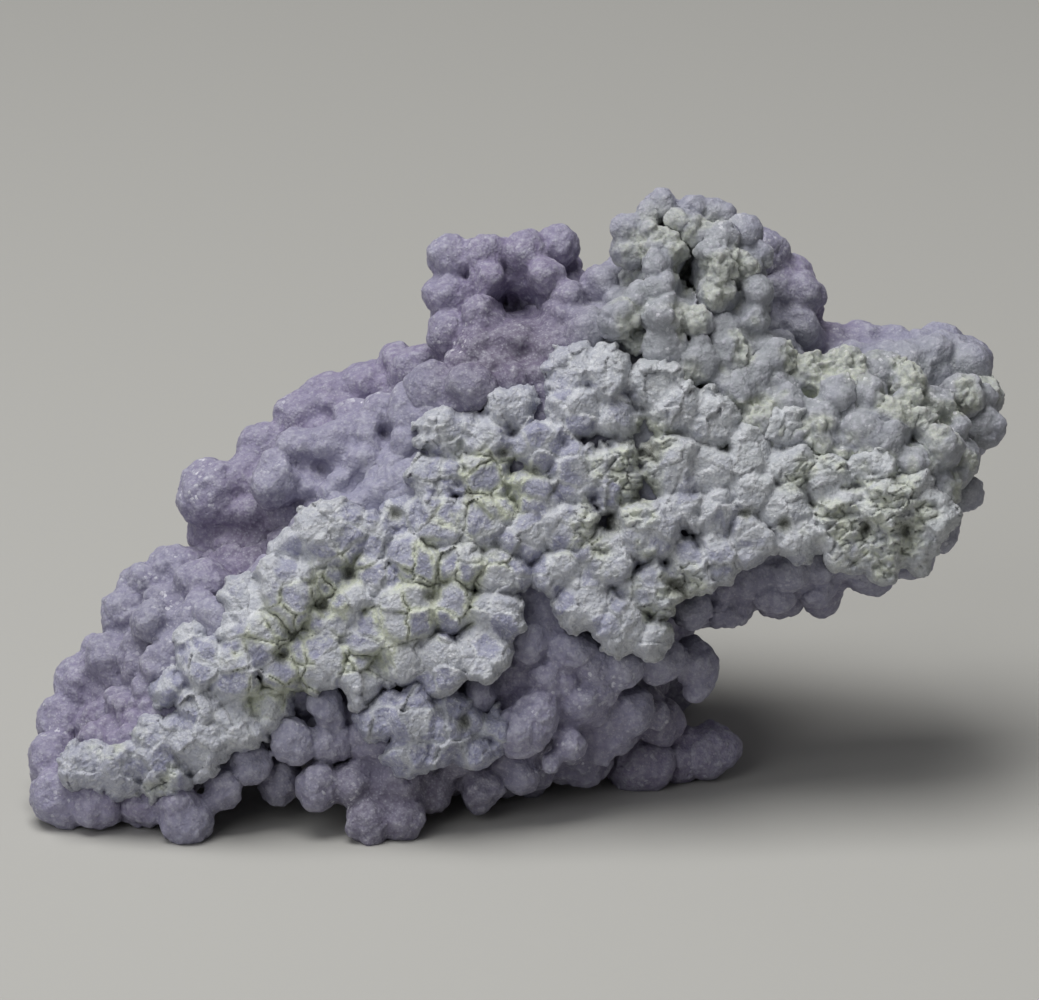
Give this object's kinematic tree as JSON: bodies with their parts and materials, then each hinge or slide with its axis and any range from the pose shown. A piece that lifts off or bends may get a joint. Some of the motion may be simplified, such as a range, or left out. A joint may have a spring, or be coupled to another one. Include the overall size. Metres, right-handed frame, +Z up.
{
  "type": "botryoidal chalcedony specimen",
  "caption": "Loose violet chalcedony specimen: clusters of small fused round beads grown on a pale, broken crust, resting on its lower beads.",
  "frame": {"origin": "on the resting plane, under the middle of the stone's box", "axes": "+Z up, +X along the stone's length to the right as seen at the broken face, +Y away from the broken face"},
  "size_m": [0.0925, 0.047, 0.0556],
  "materials": {
    "chalcedony": "waxy, finely sugary stone in grey violet, with a pale grey-green broken crust"
  },
  "bodies": {
    "root": {"chalcedony": "chalcedony"}
  },
  "joints": []
}
